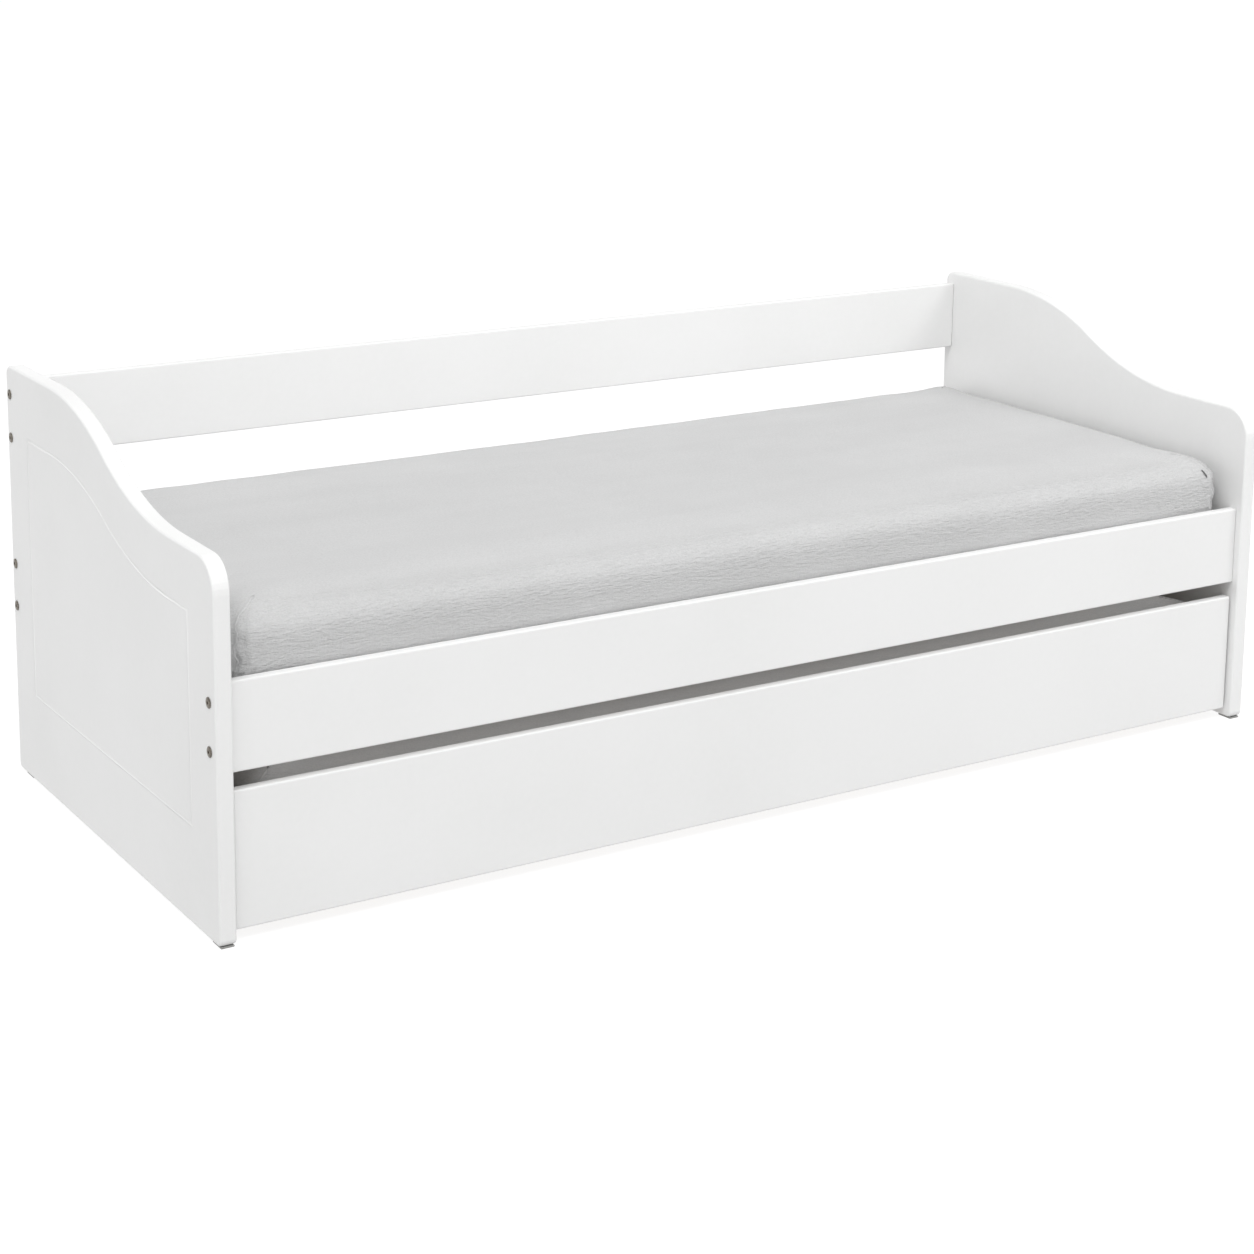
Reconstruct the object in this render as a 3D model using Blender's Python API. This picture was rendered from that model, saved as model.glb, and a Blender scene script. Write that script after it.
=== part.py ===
"""Trundle bed: a white daybed with S-curved end panels and a second bed on wheels under it.

Units are metres. +X runs along the bed, +Y to its back and +Z up. The origin is on the floor at
the middle of the bed.
"""

import math

import bmesh
import bpy
from mathutils import Matrix, Vector

# Driving dimensions
INNER_LENGTH = 2.030
PANEL_THICKNESS = 0.028
DEPTH = 0.895
PANEL_TOP = 0.731
ARM_TOP = 0.599
GAP = 0.0003

# Floor glides
GLIDE_THICKNESS = 0.003
GLIDE_LENGTH = 0.032
GLIDE_WIDTH = 0.022
GLIDE_FRONT_SETBACK = 0.003
GLIDE_BACK_SETBACK = 0.030
GLIDE_EASE = 0.0008

# Outline of the end panels
PANEL_BOTTOM = GLIDE_THICKNESS + GAP
CURVE_FRONT = 0.173
CURVE_BACK = 0.685
UPPER_ARC_SHARE = 0.475
FRONT_TOP_RADIUS = 0.052
BACK_TOP_RADIUS = 0.018
BOTTOM_RADIUS = 0.010
PANEL_EASE = 0.004
PANEL_EASE_STEPS = 3
CURVE_SEGMENTS = 14
BOTTOM_ARC_SEGMENTS = 4
BACK_ARC_SEGMENTS = 5
FRONT_ARC_SEGMENTS = 9

# Routed line on the outer face of the end panels
GROOVE_INSET = 0.100
GROOVE_TOP = PANEL_TOP - 0.1145
GROOVE_ARM_TOP = ARM_TOP - 0.0975
GROOVE_BOTTOM = 0.164
GROOVE_WIDTH = 0.007
GROOVE_DEPTH = 0.003
GROOVE_CUTTER_RISE = 0.001

# Rails
BOARD = 0.018
BOARD_EASE = 0.0025
FRONT_RECESS = 0.0145
BACK_RECESS = 0.008
RAIL_BOTTOM = 0.268
RAIL_HEIGHT = 0.142
UPPER_RAIL_BOTTOM = 0.572
UPPER_RAIL_HEIGHT = 0.136

# Connecting bolts
BOLT_PITCH = 0.076
BOLT_RISE = 0.003
BOLT_HEAD_RADIUS = 0.0088
BOLT_HEAD_THICKNESS = 0.0020
BOLT_HEAD_FLANK_SHARE = 0.40
BOLT_HEAD_CROWN_SHARE = 0.72
BOLT_SHANK_RADIUS = 0.0030
BOLT_SHANK_CHAMFER = 0.0008
BOLT_LENGTH = 0.070
BOLT_HOLE_RADIUS = 0.0035
BOLT_HOLE_LENGTH = 0.076
BOLT_SOCKET = 0.0050
BOLT_SOCKET_DEPTH = 0.0015
BOLT_SIDES = 12
HOLE_SIDES = 12

# Slats and their ledges
DECK_TOP = 0.350
SLAT_THICKNESS = 0.018
SLAT_WIDTH = 0.095
BED_SLATS = 10
LEDGE_HEIGHT = 0.022
LEDGE_DEPTH = 0.022
SLAT_END_GAP = 0.002
SLAT_EASE = 0.002
BATTEN_EASE = 0.001

# Main mattress
MATTRESS_LENGTH = 2.004
MATTRESS_HEIGHT = 0.160
MATTRESS_SIDE_GAP = 0.005
MATTRESS_ROUNDING = 0.030
MATTRESS_ROUNDING_SEGMENTS = 4
MATTRESS_SMOOTH_ANGLE = math.radians(40)

# Trundle box
TRUNDLE_BOTTOM = 0.020
TRUNDLE_TOP = 0.240
TRUNDLE_SIDE_CLEARANCE = 0.004
TRUNDLE_BOX_LENGTH = 2.018
TRUNDLE_BOX_BOTTOM = 0.040
TRUNDLE_BOX_TOP = 0.170
TRUNDLE_BACK_SETBACK = 0.025
TRUNDLE_SIDE_THICKNESS = 0.016

# Trundle deck and its mattress
BEARER_BOTTOM = 0.060
BEARER_THICKNESS = 0.018
BEARER_WIDTH = 0.090
BEARER_OFFSET = 0.800
TRUNDLE_LEDGE_HEIGHT = 0.022
TRUNDLE_SLATS = 8
TRUNDLE_SLAT_THICKNESS = 0.015
TRUNDLE_MATTRESS_LENGTH = 1.970
TRUNDLE_MATTRESS_HEIGHT = 0.118
TRUNDLE_MATTRESS_SIDE_GAP = 0.004
TRUNDLE_MATTRESS_ROUNDING = 0.025

# Wheels and brackets
WHEEL_RADIUS = 0.025
WHEEL_WIDTH = 0.018
WHEEL_BORE = 0.0031
WHEEL_RIM_RADIUS = 0.019
WHEEL_RECESS = 0.003
WHEEL_SHOULDER = 0.0025
PIN_RADIUS = 0.0030
PIN_HEAD_LENGTH = 0.0015
WHEEL_SIDES = 28
WHEEL_FRONT_SETBACK = 0.130
WHEEL_BACK_SETBACK = 0.150
PLATE_LENGTH = 0.060
PLATE_WIDTH = 0.056
PLATE_THICKNESS = 0.0025
FORK_INSIDE = 0.023
FORK_SHEET = 0.002
FORK_LENGTH = 0.034
FORK_BOTTOM = 0.014

FRONT = -DEPTH / 2
BACK = DEPTH / 2
PANEL_CENTRE_X = (INNER_LENGTH + PANEL_THICKNESS) / 2
FRONT_BOARD_BACK = FRONT + FRONT_RECESS + BOARD
BACK_RAIL_FRONT = BACK - BACK_RECESS - BOARD
TRUNDLE_BACK = BACK - TRUNDLE_BACK_SETBACK
SIDES = {"left": -1, "right": 1}


# Scene and mesh helpers

def clear_scene():
    for existing in list(bpy.data.objects):
        bpy.data.objects.remove(existing)


def make_material(name, colour, roughness, metallic=0.0):
    material = bpy.data.materials.new(name)
    material.use_nodes = True
    shader = material.node_tree.nodes["Principled BSDF"]
    shader.inputs["Base Color"].default_value = (*colour, 1.0)
    shader.inputs["Roughness"].default_value = roughness
    shader.inputs["Metallic"].default_value = metallic
    return material


def finish_mesh(mesh_builder, name):
    bmesh.ops.recalc_face_normals(mesh_builder, faces=mesh_builder.faces)
    mesh = bpy.data.meshes.new(name)
    mesh_builder.to_mesh(mesh)
    mesh_builder.free()
    return mesh


def add_object(name, mesh, material, location=(0, 0, 0), parent=None, smooth=False):
    obj = bpy.data.objects.new(name, mesh)
    bpy.context.collection.objects.link(obj)
    obj.location = location
    if parent:
        obj.parent = parent
    if material and not mesh.materials:
        mesh.materials.append(material)
    if smooth:
        mesh.shade_smooth()
        mesh.set_sharp_from_angle(angle=MATTRESS_SMOOTH_ANGLE)
    return obj


def add_empty(name, location=(0, 0, 0)):
    empty = bpy.data.objects.new(name, None)
    bpy.context.collection.objects.link(empty)
    empty.location = location
    return empty


def block_mesh(name, size, ease=0.0, segments=1):
    """A box centred on its origin, with all its edges rounded by ease."""
    builder = bmesh.new()
    bmesh.ops.create_cube(builder, size=1.0, matrix=Matrix.Diagonal((*size, 1.0)))
    if ease:
        bmesh.ops.bevel(
            builder,
            geom=builder.edges[:],
            offset=ease,
            segments=segments,
            profile=0.5,
            affect="EDGES",
        )
    return finish_mesh(builder, name)


def add_board(name, low, high, material, parent=None, ease=BOARD_EASE, segments=2):
    """A straight board between two opposite corners, placed by its centre."""
    low, high = Vector(low), Vector(high)
    mesh = block_mesh(name, high - low, ease, segments)
    return add_object(name, mesh, material, (low + high) / 2, parent)


def loft_rings(rings, closed_along=False):
    """A skin over rings of equally many points, capped at both ends unless the rings close up."""
    builder = bmesh.new()
    loops = [[builder.verts.new(point) for point in ring] for ring in rings]
    pairs = list(zip(loops, loops[1:]))
    if closed_along:
        pairs.append((loops[-1], loops[0]))
    else:
        builder.faces.new(loops[0])
        builder.faces.new(loops[-1])
    for ring, following in pairs:
        for i in range(len(ring)):
            j = (i + 1) % len(ring)
            builder.faces.new((ring[i], ring[j], following[j], following[i]))
    return builder


def turned_ring(radius, along, sides):
    """A ring about the X axis. The radius is a number or a function of the angle."""
    points = []
    for i in range(sides):
        angle = 2 * math.pi * i / sides
        r = radius(angle) if callable(radius) else radius
        points.append((along, r * math.cos(angle), r * math.sin(angle)))
    return points


def rod_mesh(name, radius, x_start, x_end, sides):
    rings = [turned_ring(radius, x, sides) for x in (x_start, x_end)]
    return finish_mesh(loft_rings(rings), name)


def cut(target, cutter_mesh, location, label):
    """Boolean difference with a hidden cutter, kept as a modifier."""
    cutter = add_object(f"{target.name}_{label}_cutter", cutter_mesh, None, location)
    cutter.hide_render = True
    cutter.display_type = "WIRE"
    modifier = target.modifiers.new(label, "BOOLEAN")
    modifier.operation = "DIFFERENCE"
    modifier.solver = "EXACT"
    modifier.object = cutter


def join(target, extra_mesh, location, label):
    """Boolean union with a hidden helper shape, kept as a modifier."""
    cut(target, extra_mesh, location, label)
    target.modifiers[label].operation = "UNION"


# End panels

def arc(centre, radius, start, end, segments):
    """Points of an arc in the YZ plane. Angles are in degrees, from +Y towards +Z."""
    points = []
    for i in range(segments + 1):
        angle = math.radians(start + (end - start) * i / segments)
        points.append((centre[0] + radius * math.cos(angle), centre[1] + radius * math.sin(angle)))
    return points


def s_curve(top, low, inset):
    """Two arcs that meet tangentially, from top at the back to low at the front, moved in by inset."""
    length = CURVE_BACK - CURVE_FRONT
    drop = top - low
    turn = 2 * math.atan(drop / length)
    both_radii = length / math.sin(turn)
    upper = UPPER_ARC_SHARE * both_radii
    lower = both_radii - upper
    degrees = math.degrees(turn)
    upper_centre = (FRONT + CURVE_BACK, top - upper)
    lower_centre = (FRONT + CURVE_FRONT, low + lower)
    points = arc(upper_centre, upper - inset, 90, 90 + degrees, CURVE_SEGMENTS)
    points += arc(lower_centre, lower + inset, 270 + degrees, 270, CURVE_SEGMENTS)[1:]
    return points


def panel_outline(inset):
    """The panel's outline, moved in from its edge by inset."""
    foot, back, front = BOTTOM_RADIUS, BACK_TOP_RADIUS, FRONT_TOP_RADIUS
    outline = arc((FRONT + foot, PANEL_BOTTOM + foot), foot - inset, 180, 270, BOTTOM_ARC_SEGMENTS)
    outline += arc((BACK - foot, PANEL_BOTTOM + foot), foot - inset, 270, 360, BOTTOM_ARC_SEGMENTS)
    outline += arc((BACK - back, PANEL_TOP - back), back - inset, 0, 90, BACK_ARC_SEGMENTS)
    outline += s_curve(PANEL_TOP, ARM_TOP, inset)
    outline += arc((FRONT + front, ARM_TOP - front), front - inset, 90, 180, FRONT_ARC_SEGMENTS)
    return outline


def panel_mesh(name):
    """The outline through the board's thickness, with quarter-round edges on both faces."""
    half, ease = PANEL_THICKNESS / 2, PANEL_EASE
    rings = []
    for side in (-1, 1):
        for i in range(PANEL_EASE_STEPS + 1):
            angle = math.pi / 2 * i / PANEL_EASE_STEPS
            if side > 0:
                angle = math.pi / 2 - angle
            x = side * (half - ease * (1 - math.cos(angle)))
            rings.append([(x, y, z) for y, z in panel_outline(ease * (1 - math.sin(angle)))])
    return finish_mesh(loft_rings(rings), name)


def groove_path(offset):
    """The routed line, which follows the panel's edges, moved inwards by offset."""
    front, back = FRONT + GROOVE_INSET + offset, BACK - GROOVE_INSET - offset
    path = [(front, GROOVE_BOTTOM + offset), (back, GROOVE_BOTTOM + offset), (back, GROOVE_TOP - offset)]
    path += s_curve(GROOVE_TOP, GROOVE_ARM_TOP, offset)
    path.append((front, GROOVE_ARM_TOP - offset))
    return path


def groove_cutter_mesh(side):
    """A closed V-shaped ring that stands 1 mm out of the panel's outer face."""
    rise = GROOVE_CUTTER_RISE
    half = GROOVE_WIDTH / 2 * (1 + rise / GROOVE_DEPTH)
    face = side * PANEL_THICKNESS / 2
    rings = []
    for offset, height in ((-half, rise), (half, rise), (0.0, -GROOVE_DEPTH)):
        x = face + side * height
        rings.append([(x, y, z) for y, z in groove_path(offset)])
    return finish_mesh(loft_rings(rings, closed_along=True), "groove_cutter")


def bolt_places():
    """(rail name, y, z) of each bolt axis, the same at both ends of the bed."""
    front_y = FRONT + FRONT_RECESS + BOARD / 2
    back_y = BACK - BACK_RECESS - BOARD / 2
    rail_middle = RAIL_BOTTOM + RAIL_HEIGHT / 2 + BOLT_RISE
    upper_middle = UPPER_RAIL_BOTTOM + UPPER_RAIL_HEIGHT / 2 + BOLT_RISE
    rows = {
        "front_rail": (front_y, rail_middle),
        "lower_back_rail": (back_y, rail_middle),
        "upper_back_rail": (back_y, upper_middle),
    }
    places = []
    for rail, (y, z) in rows.items():
        places.append((rail, "lower", y, z - BOLT_PITCH / 2))
        places.append((rail, "upper", y, z + BOLT_PITCH / 2))
    return places


def add_end_panel(label, side, material):
    name = f"{label}_end_panel"
    location = (side * PANEL_CENTRE_X, 0, 0)
    panel = add_object(name, panel_mesh(name), material, location, smooth=True)
    cut(panel, groove_cutter_mesh(side), location, "groove")
    for rail, row, y, z in bolt_places():
        hole = rod_mesh("hole_cutter", BOLT_HOLE_RADIUS, -PANEL_THICKNESS, PANEL_THICKNESS, HOLE_SIDES)
        cut(panel, hole, (location[0], y, z), f"{rail}_{row}")
    return panel


def add_glides(label, side, material):
    depths = {
        "front": FRONT + GLIDE_FRONT_SETBACK,
        "back": BACK - GLIDE_BACK_SETBACK - GLIDE_LENGTH,
    }
    for place, y in depths.items():
        x = side * PANEL_CENTRE_X
        low = (x - GLIDE_WIDTH / 2, y, 0)
        high = (x + GLIDE_WIDTH / 2, y + GLIDE_LENGTH, GLIDE_THICKNESS)
        add_board(f"{label}_{place}_glide", low, high, material, ease=GLIDE_EASE, segments=1)


# Rails, bolts and the slatted deck

def add_rail(name, y_low, z_low, height, material):
    half = INNER_LENGTH / 2 - GAP
    rail = add_board(name, (-half, y_low, z_low), (half, y_low + BOARD, z_low + height), material)
    reach = BOLT_HOLE_LENGTH - PANEL_THICKNESS
    for label, side in SIDES.items():
        for owner, row, y, z in bolt_places():
            if owner != name:
                continue
            ends = sorted((-side * reach, side * reach))
            hole = rod_mesh("hole_cutter", BOLT_HOLE_RADIUS, *ends, HOLE_SIDES)
            cut(rail, hole, (side * INNER_LENGTH / 2, y, z), f"{label}_{row}")


def hex_radius(angle):
    """Distance from the centre to the side of the bolt's hexagonal socket."""
    sixth = math.pi / 3
    return BOLT_SOCKET / 2 / math.cos((angle + sixth / 2) % sixth - sixth / 2)


def bolt_mesh():
    """A low-head connecting bolt along X, with its head's underside at x = 0."""
    head, shank = BOLT_HEAD_RADIUS, BOLT_SHANK_RADIUS
    chamfer = BOLT_SHANK_CHAMFER
    profile = [
        (shank - chamfer, -BOLT_LENGTH),
        (shank, -BOLT_LENGTH + chamfer),
        (shank, 0.0),
        (head, 0.0),
        (head, BOLT_HEAD_THICKNESS * BOLT_HEAD_FLANK_SHARE),
        (head * BOLT_HEAD_CROWN_SHARE, BOLT_HEAD_THICKNESS),
        (hex_radius, BOLT_HEAD_THICKNESS),
        (hex_radius, BOLT_HEAD_THICKNESS - BOLT_SOCKET_DEPTH),
    ]
    rings = [turned_ring(radius, x, BOLT_SIDES) for radius, x in profile]
    return finish_mesh(loft_rings(rings), "connecting_bolt")


def add_bolts(material):
    mesh = bolt_mesh()
    for label, side in SIDES.items():
        x = side * (INNER_LENGTH / 2 + PANEL_THICKNESS + GAP)
        for rail, row, y, z in bolt_places():
            bolt = add_object(f"{label}_{rail}_{row}_bolt", mesh, material, (x, y, z), smooth=True)
            if side < 0:
                bolt.rotation_euler.z = math.pi


def add_ledges(prefix, front_y, back_y, top, height, half_length, material, parent=None):
    """Two battens that carry the slat ends, one on each long board."""
    bottom = top - height
    faces = {
        "front": (front_y + GAP, front_y + LEDGE_DEPTH),
        "back": (back_y - LEDGE_DEPTH, back_y - GAP),
    }
    for place, (y_low, y_high) in faces.items():
        low = (-half_length, y_low, bottom)
        high = (half_length, y_high, top)
        add_board(f"{prefix}{place}_slat_ledge", low, high, material, parent, BATTEN_EASE, 1)


def add_slats(prefix, count, half_length, front_y, back_y, top, thickness, material, parent=None):
    """Flat boards across the bed, evenly spread, with both end slats at the deck's ends."""
    pitch = (2 * half_length - SLAT_WIDTH) / (count - 1)
    for i in range(count):
        x = -half_length + i * pitch
        low = (x, front_y + SLAT_END_GAP, top - thickness)
        high = (x + SLAT_WIDTH, back_y - SLAT_END_GAP, top)
        add_board(f"{prefix}_slat_{i + 1:02d}", low, high, material, parent, SLAT_EASE, 1)


def add_mattress(name, length, y_low, y_high, bottom, height, rounding, material, parent=None):
    low = (-length / 2, y_low, bottom)
    high = (length / 2, y_high, bottom + height)
    mattress = add_board(name, low, high, material, parent, rounding, MATTRESS_ROUNDING_SEGMENTS)
    mattress.data.shade_smooth()
    mattress.data.set_sharp_from_angle(angle=MATTRESS_SMOOTH_ANGLE)


def build_frame(materials):
    white, wood = materials["white"], materials["wood"]
    for label, side in SIDES.items():
        add_end_panel(label, side, white)
        add_glides(label, side, materials["glide"])
    add_rail("front_rail", FRONT + FRONT_RECESS, RAIL_BOTTOM, RAIL_HEIGHT, white)
    add_rail("lower_back_rail", BACK_RAIL_FRONT, RAIL_BOTTOM, RAIL_HEIGHT, white)
    add_rail("upper_back_rail", BACK_RAIL_FRONT, UPPER_RAIL_BOTTOM, UPPER_RAIL_HEIGHT, white)
    add_bolts(materials["bolt"])
    half = INNER_LENGTH / 2 - LEDGE_DEPTH
    front_y, back_y = FRONT_BOARD_BACK, BACK_RAIL_FRONT
    ledge_top = DECK_TOP - SLAT_THICKNESS - GAP
    add_ledges("", front_y, back_y, ledge_top, LEDGE_HEIGHT, half, wood)
    add_slats("bed", BED_SLATS, half, front_y, back_y, DECK_TOP, SLAT_THICKNESS, wood)
    add_mattress(
        "main_mattress",
        MATTRESS_LENGTH,
        front_y + MATTRESS_SIDE_GAP,
        back_y - MATTRESS_SIDE_GAP,
        DECK_TOP + GAP,
        MATTRESS_HEIGHT,
        MATTRESS_ROUNDING,
        materials["sheet"],
    )


# Trundle

def add_trundle_box(materials, trundle):
    white = materials["white"]
    half = INNER_LENGTH / 2 - TRUNDLE_SIDE_CLEARANCE
    front_y = FRONT + FRONT_RECESS
    low = (-half, front_y, TRUNDLE_BOTTOM)
    high = (half, front_y + BOARD, TRUNDLE_TOP)
    add_board("trundle_front", low, high, white, trundle)
    half_box = TRUNDLE_BOX_LENGTH / 2
    low = (-half_box, TRUNDLE_BACK - BOARD, TRUNDLE_BOX_BOTTOM)
    high = (half_box, TRUNDLE_BACK, TRUNDLE_BOX_TOP)
    add_board("trundle_back", low, high, white, trundle)
    for label, side in SIDES.items():
        xs = sorted((side * half_box, side * (half_box - TRUNDLE_SIDE_THICKNESS)))
        low = (xs[0], FRONT_BOARD_BACK + GAP, TRUNDLE_BOX_BOTTOM)
        high = (xs[1], TRUNDLE_BACK - BOARD - GAP, TRUNDLE_BOX_TOP)
        add_board(f"trundle_{label}_side", low, high, white, trundle)


def add_trundle_deck(materials, trundle):
    wood = materials["wood"]
    front_y, back_y = FRONT_BOARD_BACK, TRUNDLE_BACK - BOARD
    bearer_top = BEARER_BOTTOM + BEARER_THICKNESS
    for label, side in SIDES.items():
        x = side * BEARER_OFFSET
        low = (x - BEARER_WIDTH / 2, front_y + GAP, BEARER_BOTTOM)
        high = (x + BEARER_WIDTH / 2, back_y - GAP, bearer_top)
        add_board(f"trundle_{label}_bearer", low, high, wood, trundle, BATTEN_EASE, 1)
    half = TRUNDLE_BOX_LENGTH / 2 - TRUNDLE_SIDE_THICKNESS - GAP
    ledge_top = bearer_top + GAP + TRUNDLE_LEDGE_HEIGHT
    add_ledges("trundle_", front_y, back_y, ledge_top, TRUNDLE_LEDGE_HEIGHT, half, wood, trundle)
    slat_top = ledge_top + GAP + TRUNDLE_SLAT_THICKNESS
    slat_half = half - SLAT_END_GAP
    add_slats(
        "trundle",
        TRUNDLE_SLATS,
        slat_half,
        front_y,
        back_y,
        slat_top,
        TRUNDLE_SLAT_THICKNESS,
        wood,
        trundle,
    )
    add_mattress(
        "trundle_mattress",
        TRUNDLE_MATTRESS_LENGTH,
        front_y + TRUNDLE_MATTRESS_SIDE_GAP,
        back_y - TRUNDLE_MATTRESS_SIDE_GAP,
        slat_top + GAP,
        TRUNDLE_MATTRESS_HEIGHT,
        TRUNDLE_MATTRESS_ROUNDING,
        materials["sheet"],
        trundle,
    )


def wheel_mesh():
    """A solid roller about the X axis: bore, recessed web and rounded tread."""
    half = WHEEL_WIDTH / 2
    side = [
        (WHEEL_BORE, half - WHEEL_RECESS),
        (WHEEL_RIM_RADIUS, half - WHEEL_RECESS),
        (WHEEL_RIM_RADIUS, half),
        (WHEEL_RADIUS - WHEEL_SHOULDER, half),
        (WHEEL_RADIUS, half - WHEEL_SHOULDER),
    ]
    profile = side + [(radius, -x) for radius, x in reversed(side)]
    rings = [turned_ring(radius, x, WHEEL_SIDES) for radius, x in profile]
    return finish_mesh(loft_rings(rings, closed_along=True), "wheel")


def add_bracket(name, x, y, material, trundle):
    """A folded steel fork under its fixing plate, with the wheel's riveted pin through it."""
    plate_top = BEARER_BOTTOM - GAP
    plate_bottom = plate_top - PLATE_THICKNESS
    size = (PLATE_LENGTH, PLATE_WIDTH, PLATE_THICKNESS)
    plate = block_mesh(name, size)
    centre = (x, y, plate_top - PLATE_THICKNESS / 2)
    bracket = add_object(name, plate, material, centre, trundle)
    sheet_height = plate_bottom - FORK_BOTTOM
    for label, side in SIDES.items():
        sheet = block_mesh("fork_sheet", (FORK_SHEET, FORK_LENGTH, sheet_height + PLATE_THICKNESS / 2))
        sheet_x = x + side * (FORK_INSIDE + FORK_SHEET) / 2
        sheet_z = FORK_BOTTOM + (sheet_height + PLATE_THICKNESS / 2) / 2
        join(bracket, sheet, (sheet_x, y, sheet_z), f"{label}_sheet")
    pin_half = FORK_INSIDE / 2 + FORK_SHEET + PIN_HEAD_LENGTH
    pin = rod_mesh("axle_pin", PIN_RADIUS, -pin_half, pin_half, HOLE_SIDES)
    join(bracket, pin, (x, y, WHEEL_RADIUS), "pin")


def add_wheels(materials, trundle):
    mesh = wheel_mesh()
    depths = {
        "front": FRONT + WHEEL_FRONT_SETBACK,
        "back": BACK - WHEEL_BACK_SETBACK,
    }
    for label, side in SIDES.items():
        for place, y in depths.items():
            x = side * BEARER_OFFSET
            name = f"{place}_{label}"
            add_bracket(f"{name}_wheel_bracket", x, y, materials["steel"], trundle)
            centre = (x, y, WHEEL_RADIUS)
            add_object(f"{name}_wheel", mesh, materials["wheel"], centre, trundle, smooth=True)


def build_trundle(materials):
    trundle = add_empty("trundle")
    add_trundle_box(materials, trundle)
    add_trundle_deck(materials, trundle)
    add_wheels(materials, trundle)


def main():
    clear_scene()
    materials = {
        "white": make_material("white_lacquer", (0.80, 0.80, 0.79), 0.38),
        "wood": make_material("slat_pine", (0.62, 0.45, 0.27), 0.60),
        "sheet": make_material("grey_sheet", (0.55, 0.55, 0.56), 0.90),
        "bolt": make_material("bolt_bronze", (0.22, 0.19, 0.16), 0.35, 0.9),
        "glide": make_material("glide_plastic", (0.10, 0.10, 0.10), 0.50),
        "wheel": make_material("wheel_nylon", (0.08, 0.08, 0.09), 0.45),
        "steel": make_material("bracket_zinc", (0.60, 0.61, 0.62), 0.35, 1.0),
    }
    build_frame(materials)
    build_trundle(materials)


main()
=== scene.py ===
"""Looks of the trundle bed: lacquer, pine, steel, plastic and two sheeted mattresses on the CAD frame."""

import math

import bmesh
import bpy
import numpy as np
from mathutils import Matrix, Vector, noise
from mathutils.bvhtree import BVHTree


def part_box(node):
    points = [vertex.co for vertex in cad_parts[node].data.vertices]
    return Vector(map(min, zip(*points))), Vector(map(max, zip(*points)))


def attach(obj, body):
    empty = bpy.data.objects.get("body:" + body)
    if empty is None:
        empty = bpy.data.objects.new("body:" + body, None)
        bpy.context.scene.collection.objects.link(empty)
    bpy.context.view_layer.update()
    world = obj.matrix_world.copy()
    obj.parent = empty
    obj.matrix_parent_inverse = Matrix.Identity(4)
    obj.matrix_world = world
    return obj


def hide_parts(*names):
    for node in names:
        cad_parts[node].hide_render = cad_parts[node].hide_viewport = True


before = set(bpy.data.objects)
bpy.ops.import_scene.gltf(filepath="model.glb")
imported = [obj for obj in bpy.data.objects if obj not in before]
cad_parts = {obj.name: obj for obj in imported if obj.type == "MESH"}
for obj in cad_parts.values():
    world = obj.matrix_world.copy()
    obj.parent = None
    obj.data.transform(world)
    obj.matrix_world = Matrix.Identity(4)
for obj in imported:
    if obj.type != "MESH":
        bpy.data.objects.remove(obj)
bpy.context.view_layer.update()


# Node materials

WAVE_NODE_RATE = 20


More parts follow.
